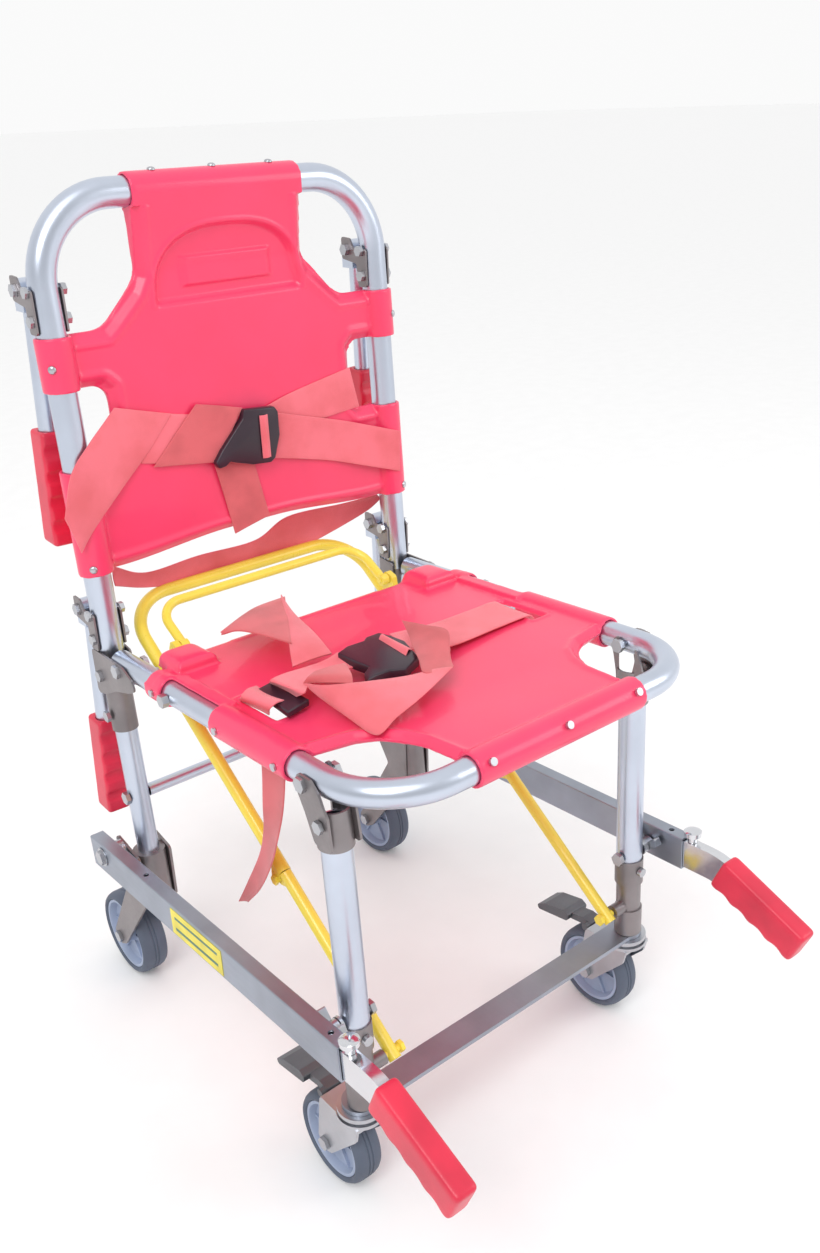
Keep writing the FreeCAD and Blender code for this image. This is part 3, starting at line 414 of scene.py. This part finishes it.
def bar(name, points, radius, sides=8):
    """A thin round bar or thread through points, as mesh."""
    pts = [Vector(p) for p in points]
    verts, faces, last_side = [], [], None
    for i, p in enumerate(pts):
        heading = (pts[min(i + 1, len(pts) - 1)] - pts[max(i - 1, 0)]).normalized()
        side = heading.orthogonal().normalized()
        if i and abs(side.dot(last_side)) < 0.99:
            side = (last_side - heading * last_side.dot(heading)).normalized()
        last_side = side
        up = heading.cross(side)
        for k in range(sides):
            angle = 2 * math.pi * k / sides
            verts.append(p + side * math.cos(angle) * radius + up * math.sin(angle) * radius)
    for i in range(len(pts) - 1):
        for k in range(sides):
            n = (k + 1) % sides
            faces.append((i * sides + k, i * sides + n, (i + 1) * sides + n, (i + 1) * sides + k))
    faces.append(tuple(range(sides))[::-1])
    faces.append(tuple(range((len(pts) - 1) * sides, len(pts) * sides)))
    return mesh_from(name, verts, faces)


STITCH_COUNT = 9       # stitches in each sewn line
THREAD_R = 0.45


def stitches(name, rows, lines, lift, body):
    """Sewn thread lines on a strap; each line is two (along, across) ends."""
    threads = []
    for start, end in lines:
        for k in range(STITCH_COUNT):
            f0, f1 = (k + 0.15) / STITCH_COUNT, (k + 0.85) / STITCH_COUNT
            ends = [on_ribbon(rows, start[0] + (end[0] - start[0]) * f, start[1] + (end[1] - start[1]) * f, lift)
                    for f in (f0, f1)]
            threads.append(bar("thread", ends, THREAD_R, 6))
    return finish_piece(join(name, threads), "thread", body)


def prism(name, outline, low, high, axis, bevel, mat, body, replaced=()):
    """A bevelled plate: outline holds 2D points across the axis, in millimetres over the datum."""
    def place(p, level):
        return {"X": (level, p[0], p[1]), "Y": (p[0], level, p[1]), "Z": (p[0], p[1], level)}[axis]
    count = len(outline)
    verts = [place(p, low) for p in outline] + [place(p, high) for p in outline]
    faces = [tuple(range(count)), tuple(range(2 * count - 1, count - 1, -1))]
    faces += [(i, (i + 1) % count, count + (i + 1) % count, count + i) for i in range(count)]
    obj = mesh_from(name, verts, faces)
    fix_normals(obj)
    if bevel:
        edge = obj.modifiers.new("edge", "BEVEL")
        edge.width = bevel * MM
        edge.segments = 3
        edge.limit_method = "ANGLE"
        edge.angle_limit = math.radians(30)
        bake_modifiers(obj)
    return finish_piece(obj, mat, body, replaced)


# ---------------------------------------------------------------- CAD nodes that stay

KEEP = {
    "aluminium": ["back_tube", "rear_leg_left", "rear_leg_right", "seat_tube", "front_leg_left", "front_leg_right",
                  "rear_crossbar", "upper_handle_arm_left", "upper_handle_arm_right", "lower_handle_arm_left",
                  "lower_handle_arm_right"],
    "rail": ["rail_left", "rail_right", "front_crossbar"],
    "steel": ["gusset_left", "gusset_right", "rear_wheel_brackets", "upper_hinge_plates", "lower_hinge_plates",
              "front_bracket_left", "front_bracket_right", "leg_foot_left", "leg_foot_right"],
    "zinc": ["frame_fasteners", "seat_fasteners", "leg_fasteners", "rail_spacers", "caster_fork_left",
             "caster_fork_right", "wing_nut_left", "wing_nut_right"],
    "yellow": ["lever", "lower_links", "release_bar"],
    "pedal": ["brake_pedal_left", "brake_pedal_right"],
    "bright": ["slide_bar_left", "slide_bar_right", "slide_knob_left", "slide_knob_right"],
}
for key, names in KEEP.items():
    for node in names:
        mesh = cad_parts[node].data
        for index in range(max(1, len(mesh.materials))):
            if index < len(mesh.materials):
                mesh.materials[index] = MAT[key]
            else:
                mesh.materials.append(MAT[key])


# ---------------------------------------------------------------- back panel

BACK_LINE = (238.0, 440.0, 0.05)


def back_y(z):
    y, z0, lean = BACK_LINE
    return y + lean * (z - z0)


PANEL_VOXEL, PANEL_ROUNDS = 1.6, 6
back = softened("back_panel", "back_panel_moulding", PANEL_VOXEL, PANEL_ROUNDS)
NECK = [(96, 885), (97, 818), (104, 806), (130, 782), (140, 774), (176, 774)]
NOTCH = [(176, 723), (152, 723), (146, 717), (146, 654), (152, 648), (176, 648)]
BOTTOM = [(-176, 541), (176, 541)]


def shape_back(p):
    """Rolled edges, a raised rib beside them, the domed recess and a slightly arched bottom edge."""
    flat = np.stack([np.abs(p[:, 0]), p[:, 2]], axis=1)
    edge = np.minimum(line_distance(flat, NECK), line_distance(flat, NOTCH))
    edge = np.minimum(edge, line_distance(np.stack([p[:, 0], p[:, 2]], axis=1), BOTTOM))
    middle = back_y(p[:, 2])
    front = middle - 5.5 - 12.0 * np.clip((p[:, 2] - 822) / 71, 0, 1)
    sheet = (p[:, 1] > front - 2.5) & (p[:, 1] < middle + 4) & (np.abs(p[:, 0]) < 178) & (p[:, 2] < 880)
    push = np.zeros_like(p)
    push[:, 1] = 6.0 * (1 - soft_step(edge, 0, 9)) - 1.6 * bell(edge, 12, 3.5)
    shape = (np.abs(p[:, 0] - 4) / 87) ** 2.6 + (np.clip(p[:, 2] - 786, 0, None) / 74) ** 2.6
    inside = np.where(p[:, 2] > 786, 1 - shape, -1)
    recess = soft_step(inside, 0.0, 0.16) * soft_step(p[:, 2], 786, 794)
    push[:, 1] += 6.0 * recess - 1.2 * bell(inside, -0.06, 0.07) * (p[:, 2] > 780)
    plate = 1 - soft_step(np.maximum(np.abs(p[:, 0] - 4) / 56, np.abs(p[:, 2] - 817) / 15), 0.82, 1.0)
    push[:, 1] -= 3.2 * plate
    push[:, 1] *= sheet
    arch = 9.0 * (1 - soft_step(np.abs(p[:, 0]), 30, 165)) * (1 - soft_step(p[:, 2], 541, 600))
    push[:, 2] += arch * sheet
    return push


displace(back, shape_back)
finish_piece(back, "panel", "rear_frame", ["back_panel"], smooth=60)

TUBE_X, WRAP_R = 192.0, 17.8
spots = []
for side in (-1, 1):
    for z, angle in ((747.0, 50), (551.0, 60)):
        out = Vector((side * math.cos(math.radians(angle)), -math.sin(math.radians(angle)), 0))
        centre = Vector((side * TUBE_X, back_y(z), z))
        spots.append((centre + out * WRAP_R, out, 4.0, 2.4))
TOP_Z = 893.0
for x in (-66, 0, 66):
    spots.append(((x, back_y(TOP_Z) - 2, TOP_Z + 17.2), (0, -0.1, 1), 4.0, 2.6))
domes("back_rivets", "rear_frame", spots)


# ---------------------------------------------------------------- seat panel

SEAT_Z, SEAT_SLOPE = 462.0, 0.05
seat = softened("seat_panel", "seat_panel_moulding", PANEL_VOXEL, PANEL_ROUNDS)
CUTOUT = [(176, -109), (140, -117), (122, -128), (111, -146), (104, -166), (101, -204)]
REAR = [(-140, 161), (140, 161)]
SLOT_EDGE = [(150, -41), (168, -41), (168, 22), (150, 22), (150, -41)]


def shape_seat(p):
    """Rolled edges at the cut-outs, lips round the belt slots and long shallow channels."""
    flat = np.stack([np.abs(p[:, 0]), p[:, 1]], axis=1)
    cut = line_distance(flat, CUTOUT)
    rear = line_distance(np.stack([p[:, 0], p[:, 1]], axis=1), REAR)
    slot = line_distance(flat, SLOT_EDGE)
    level = SEAT_Z - SEAT_SLOPE * p[:, 1] + 8.5
    sheet = (np.abs(p[:, 2] - level) < 5.5) & (np.abs(p[:, 0]) < 181) & (p[:, 1] > -206)
    push = np.zeros_like(p)
    push[:, 2] = 1.6 * bell(cut, 7, 4.0) - 4.0 * (1 - soft_step(cut, 0, 6))
    push[:, 2] += -3.0 * (1 - soft_step(rear, 0, 7)) + 0.8 * bell(rear, 11, 3.5)
    push[:, 2] += 1.1 * bell(slot, 4, 2.5) - 1.2 * (1 - soft_step(slot, 0, 2.5))
    dip = soft_step(np.abs(p[:, 0]), 0, 150)
    push[:, 2] += -2.5 * (1 - dip) * soft_step(p[:, 1], -200, -120) * (1 - soft_step(p[:, 1], 90, 150))
    push[:, 2] *= sheet
    return push


displace(seat, shape_seat)
relax(seat, lambda p: p[1] > 118 and abs(p[0]) > 96 and p[2] > 462, 40)
finish_piece(seat, "panel", "seat", ["seat_panel"], smooth=60)


# ---------------------------------------------------------------- wheels

BLOCK_FACES = [(0, 1, 2, 3), (7, 6, 5, 4), (0, 4, 5, 1), (1, 5, 6, 2), (2, 6, 7, 3), (3, 7, 4, 0)]


def wheel(side, place, body, axle, radius, width):
    """Tyre with shallow tread grooves and a hub with a rim lip, webs and a boss, turned about the axle."""
    half, rim = width / 2, radius - 9.0
    profile = [(-half + 3, rim), (-half + 0.8, rim + 1.4), (-half, rim + 3.4), (-half + 1, radius - 3.4),
               (-half + 4, radius - 1.3), (-half + 8, radius - 0.2), (-3.2, radius), (-2.6, radius - 0.9),
               (-1.6, radius - 0.9), (-1.0, radius), (1.0, radius), (1.6, radius - 0.9), (2.6, radius - 0.9),
               (3.2, radius), (half - 8, radius - 0.2), (half - 4, radius - 1.3), (half - 1, radius - 3.4),
               (half, rim + 3.4), (half - 0.8, rim + 1.4), (half - 3, rim)]
    tyre = lathe(place + "_tyre_ring_" + side, axle, profile, steps=96)
    finish_piece(tyre, "tyre", body, [place + "_tyre_" + side], smooth=40)
    lip = half - 2.4
    flank = [(lip, rim - 0.1), (lip + 0.4, rim - 1.6), (lip, rim - 3.4), (lip - 2.5, rim - 4.6), (5.5, rim - 6),
             (4, rim - 9), (4, 15), (6, 12.6), (lip + 0.2, 11), (lip + 0.8, 9.6), (lip + 0.8, 4.2)]
    profile = [(-along, r) for along, r in flank] + flank[::-1]
    parts = [lathe("hub", axle, profile, steps=72)]
    for k in range(6):
        angle = 2 * math.pi * k / 6
        inner, outer = 11.0, rim - 5.0
        u, w = Vector((0, math.cos(angle), math.sin(angle))), Vector((0, -math.sin(angle), math.cos(angle))) * 1.3
        centre = Vector(axle)
        corners = [centre + u * r + w * s + Vector((h, 0, 0)) for h in (-7.0, 7.0) for r, s in
                   ((inner, -1), (outer, -1), (outer, 1), (inner, 1))]
        parts.append(mesh_from("rib", corners, BLOCK_FACES))
        fix_normals(parts[-1])
    finish_piece(join(place + "_hub_turned_" + side, parts), "hub", body, [place + "_hub_" + side], smooth=35)


for side, sign in (("left", 1), ("right", -1)):
    wheel(side, "rear", "rear_wheel_" + side, (sign * 192, 306, 50), 54.0, 33.0)
    wheel(side, "caster", "caster_wheel_" + side, (sign * 188, -118, 45.5), 49.5, 30.6)


# ---------------------------------------------------------------- grips

GRIP_VOXEL = 1.1


def grip(node, body, rounds):
    """A grip's moulding with its edges rounded by so many rounds of smoothing."""
    finish_piece(softened(node, node + "_moulding", GRIP_VOXEL, rounds), "grip", body, [node], smooth=60)


for side in ("left", "right"):
    for level in ("upper", "lower"):
        grip(level + "_handle_grip_" + side, level + "_handle_" + side, 16)
    grip("slide_grip_" + side, "slide_" + side, 40)


# ---------------------------------------------------------------- straps

STRAPS = {
    "chest_left": [[(-222, 226, 610), (-211, 226, 572)], [(-208, 227, 650), (-193, 228, 592)],
        [(-183, 234, 673), (-149, 238, 626)], [(-162, 238, 690), (-116, 241, 654)],
        [(-147, 241, 702), (-86, 242.6, 685)]],
    "chest_under": [[(-127, 241.4, 642), (-115, 243.9, 691)], [(-83, 240.9, 633), (-64, 243.3, 680)],
        [(-42, 240.7, 627), (-15, 241, 670)]],
    "chest_layer": [[(-115, 239.1, 636), (-58, 240, 690)], [(-84, 238.9, 632), (-35, 239, 685)],
        [(-42, 236, 627), (-6, 236, 678)]],
    "chest_right": [[(13, 234, 619), (17, 234, 671)], [(28, 236, 617), (36, 236, 665)],
        [(98, 237.5, 600), (118, 239, 642)], [(152, 232, 583), (159, 234, 629)],
        [(193, 224, 570), (196, 225, 617)]],
    "chest_right_upper": [[(34, 240, 650), (26, 241, 673)], [(81, 241.6, 646), (64, 243.4, 682)],
        [(151, 241.9, 651), (142, 244.1, 696)]],
    "chest_down": [[(-47, 238, 632), (2, 238, 622)], [(-37, 237.4, 582), (8, 237.9, 592)],
        [(-31, 235.5, 545), (15, 236.1, 555)]],
    "chest_loop": [[(-166, 262, 514), (-165, 262, 536)], [(-118, 280, 494), (-120, 280, 512)],
        [(-39, 286, 480), (-52, 286, 512)], [(50, 286, 480), (23, 286, 511)],
        [(105, 282, 491), (68, 282, 530)], [(171, 272, 512), (140, 272, 531)],
        [(192, 262, 528), (186, 262, 534)]],
    "lap_slot": [[(-156, -8, 462), (-162, 31, 462)], [(-169, -32, 482), (-176, 6, 482)],
        [(-164, -36, 488), (-169, 5, 488)], [(-151, -31, 484), (-155, 12, 484)]],
    "lap_mid": [[(-142, -35, 486), (-144, 4, 486)], [(-141, -47, 494), (-151, -8, 496)],
        [(-126, -34, 492), (-131, 1, 492)], [(-90, -22, 486), (-100, 9, 486)],
        [(-69, -26, 488), (-82, 4, 489)], [(-66, -42, 492), (-67, 4, 492)]],
    "lap_right": [[(-12, -41, 492), (-5, 3, 492)], [(35, -42, 481), (60, 12, 481)],
        [(104, -37, 478), (114, 16, 478)], [(149, -36, 477), (149, 17, 477)],
        [(159, -36, 468), (159, 17, 468)]],
    "lap_twist_a": [[(-11, -40, 496), (14, 6, 500)], [(-32, -75, 500), (16, -28, 505)],
        [(-43, -98, 498), (23, -52, 505)], [(-8, -96, 492), (7, -74, 498)]],
    "lap_twist_b": [[(-11, -99, 494), (-51, -91, 496)], [(-66, -121, 492), (-82, -84, 500)],
        [(-103, -130, 488), (-108, -74, 502)], [(-127, -131, 480), (-126, -57, 500)],
        [(-126, -93, 482), (-131, -30, 494)]],
    "lap_twist_c": [[(-131, -30, 494), (-106, -72, 500)], [(-129, -34, 500), (-98, -60, 502)],
        [(-120, -32, 502), (-86, -34, 500)]],
    "lap_flap_a": [[(-112, 15, 488), (-68, 13, 488)], [(-101, 35, 500), (-62, 49, 496)],
        [(-61, 101, 495), (-46, 108, 494)], [(-20, 171, 487), (-20, 171, 487)]],
    "lap_flap_b": [[(-99, 34, 502), (-18, 167, 487)], [(-105, 81, 498), (-54, 163, 488)],
        [(-112, 112, 494), (-80, 152, 489)], [(-125, 122, 490), (-124, 124, 492)]],
    "lap_tail": [[(-172, -12, 446), (-172, -50, 446)], [(-172, -12, 414), (-172, -51, 424)],
        [(-172, -6, 370), (-171, -40, 380)], [(-168, 4, 338), (-174, -30, 344)],
        [(-166, 20, 300), (-173, -12, 306)], [(-168, 46, 254), (-172, 16, 262)],
        [(-170, 70, 214), (-171, 48, 226)]],
}


def strap(name, mat, body, replaced=(), **shape):
    return ribbon(name, STRAPS[name], mat, body, replaced, **shape)


strap("chest_left", "strap", "rear_frame", ["chest_strap"], crown=1.0)
strap("chest_under", "strap", "rear_frame")
# The darker webbing copy on the lower chest layers is painted shade.
strap("chest_layer", "strap_shaded", "rear_frame", crown=0.6)
strap("chest_right", "strap", "rear_frame", crown=0.8)
strap("chest_right_upper", "strap", "rear_frame")
strap("chest_down", "strap_shaded", "rear_frame", crown=0.5)
strap("chest_loop", "strap", "rear_frame", crown=2.0)
stitches("chest_stitching", STRAPS["chest_down"], [((1.05, 0.08), (1.05, 0.92)), ((1.92, 0.08), (1.92, 0.92)),
                                                   ((1.05, 0.08), (1.92, 0.08)), ((1.05, 0.92), (1.92, 0.92)),
                                                   ((1.05, 0.08), (1.92, 0.92)), ((1.05, 0.92), (1.92, 0.08))],
         1.2, "rear_frame")

strap("lap_slot", "strap", "seat", ["lap_strap"], crown=1.0)
strap("lap_mid", "strap", "seat", crown=1.0)
strap("lap_right", "strap", "seat", crown=0.6)
# The darker webbing copy on the twists' back faces, the under flap and the hanging tail is painted shade.
strap("lap_twist_a", "strap_shaded", "seat", crown=2.0)
strap("lap_twist_b", "strap", "seat", crown=2.0)
strap("lap_twist_c", "strap_shaded", "seat", crown=1.0)
strap("lap_flap_a", "strap", "seat", crown=1.5)
strap("lap_flap_b", "strap_shaded", "seat", crown=1.5)
strap("lap_tail", "strap_shaded", "seat", crown=2.0)


# ---------------------------------------------------------------- buckles

CHEST_BUCKLE = [(-8, 677), (30, 674), (34, 668), (34, 643), (26, 619), (20, 615), (-2, 617), (-22, 623), (-30, 626),
                (-36, 622), (-44, 621), (-48, 628), (-38, 640), (-22, 656), (-10, 668)]
prism("chest_buckle_shell", CHEST_BUCKLE, 229.5, 238.5, "Y", 1.8, "black", "rear_frame", ["chest_buckle"])
ribbon("chest_slot_turn", [[(9, 228.6, 668), (9, 228.6, 622)], [(14, 226.8, 668), (14, 226.8, 622)],
                           [(19, 228.6, 668), (19, 228.6, 622)]], "strap", "rear_frame")

LAP_BUCKLE = [(-72, -2), (-56, 4), (-37, 3), (-30, 8), (-14, 8), (-10, -6), (-8, -25), (-21, -62),
              (-47, -74), (-59, -66), (-75, -65), (-85, -67), (-80, -54), (-68, -46), (-71, -25)]
prism("lap_buckle_shell", LAP_BUCKLE, 485.0, 495.5, "Z", 1.8, "black", "seat", ["lap_buckle"])
ribbon("lap_slot_turn", [[(-24, -5, 495), (-29, -52, 495)], [(-20, -4, 498.5), (-23, -49, 498.5)],
                         [(-15, -3, 495), (-16, -46, 495)]], "strap", "seat")
LOCK = [(-160, 4), (-137, 9), (-136, -46), (-164, -53)]
prism("lap_lock", LOCK, 479.0, 485.5, "Z", 1.4, "black", "seat")


# ---------------------------------------------------------------- label on the rail

RAIL_FACE_X = -237.25
RAIL_PITCH = math.tan(math.radians(2.75))
LABEL_BANDS = ((-16, 15, "label", 0.0), (-9, -5.5, "label_mark", 0.15), (5.0, 8.0, "label_mark", 0.15))


def label(y0, y1):
    """A plain film on the outer face of the sitter's right rail, with two plain bands."""
    def z_mid(y):
        return 209.0 + (250.0 - y) * RAIL_PITCH - 3.5
    for index, (low, high, mat, off) in enumerate(LABEL_BANDS):
        inset = 0 if mat == "label" else 8
        outline = [(y0 - inset, z_mid(y0) + low), (y1 + inset, z_mid(y1) + low), (y1 + inset, z_mid(y1) + high),
                   (y0 - inset, z_mid(y0) + high)]
        prism("rail_" + mat + str(index), outline, RAIL_FACE_X - off - 0.3, RAIL_FACE_X - off + 0.2, "X", 0, mat,
              "rail_body_right")


label(92.0, -8.0)


# ---------------------------------------------------------------- floor, light and camera

FLOOR_HALF = 90000.0
CORNERS = [(x * FLOOR_HALF, y * FLOOR_HALF, -LIFT) for x, y in ((-1, -1), (1, -1), (1, 1), (-1, 1))]
floor = mesh_from("floor", CORNERS, [(0, 1, 2, 3)])
floor.data.materials.append(MAT["floor"])

world = bpy.data.worlds.new("studio")
bpy.context.scene.world = world
world.use_nodes = True
tree = world.node_tree
sky = tree.nodes["Background"]
sky.inputs["Color"].default_value = (1.0, 1.0, 1.0, 1)
aim = tree.nodes.new("ShaderNodeTexCoord")
facing = tree.nodes.new("ShaderNodeVectorMath")
facing.operation = "DOT_PRODUCT"
facing.inputs[1].default_value = (0.63, 0.777, 0.35)
tree.links.new(aim.outputs["Generated"], facing.inputs[0])
shade_map = tree.nodes.new("ShaderNodeMapRange")
shade_map.inputs["From Min"].default_value = -0.7
shade_map.inputs["From Max"].default_value = 0.45
shade_map.inputs["To Min"].default_value = 0.66
shade_map.inputs["To Max"].default_value = 0.96
tree.links.new(facing.outputs["Value"], shade_map.inputs["Value"])
tree.links.new(shade_map.outputs["Result"], sky.inputs["Strength"])


def area(name, place, target, size, power):
    light = bpy.data.lights.new(name, "AREA")
    light.size = size
    light.energy = power
    obj = bpy.data.objects.new(name, light)
    obj.location = place
    obj.rotation_euler = (Vector(target) - Vector(place)).to_track_quat("-Z", "Y").to_euler()
    bpy.context.scene.collection.objects.link(obj)


area("key", (-1.9, -1.2, 2.6), (0, 0, 0.45), 1.3, 30)
area("fill", (1.9, -1.8, 1.6), (0, 0, 0.45), 1.2, 12)

sun = bpy.data.lights.new("sun", "SUN")
sun.energy = 0.45
sun.angle = 0.7
sun_lamp = bpy.data.objects.new("sun", sun)
sun_lamp.rotation_euler = (0.45, -0.35, 0.0)
bpy.context.scene.collection.objects.link(sun_lamp)

FRAME_W, FRAME_H = 820, 1253
FOCAL = 1151.63        # in pixels of that frame
CENTRE = (417.54, 682.63)
EYE = Vector((-0.63634, -0.81758, 0.95702 + LIFT * MM))
YAW, PITCH, ROLL = (math.radians(a) for a in (-39.021, 26.649, -2.083))
back_axis = Vector((math.sin(YAW) * math.cos(PITCH), -math.cos(YAW) * math.cos(PITCH), math.sin(PITCH)))
right_axis = Vector((math.cos(YAW), math.sin(YAW), 0))
up_axis = back_axis.cross(right_axis)
rolled_right = right_axis * math.cos(ROLL) + up_axis * math.sin(ROLL)
rolled_up = up_axis * math.cos(ROLL) - right_axis * math.sin(ROLL)
camera_data = bpy.data.cameras.new("camera")
camera_data.sensor_width = 36.0
camera_data.lens = FOCAL / FRAME_H * camera_data.sensor_width
camera_data.shift_x = (FRAME_W / 2 - CENTRE[0]) / FRAME_H
camera_data.shift_y = (CENTRE[1] - FRAME_H / 2) / FRAME_H
camera_data.clip_end = 1000
camera = bpy.data.objects.new("camera", camera_data)
turn = Matrix((rolled_right, rolled_up, back_axis)).transposed().to_4x4()
camera.matrix_world = Matrix.Translation(EYE) @ turn
bpy.context.scene.collection.objects.link(camera)
bpy.context.scene.camera = camera
bpy.context.scene.view_settings.view_transform = "Standard"
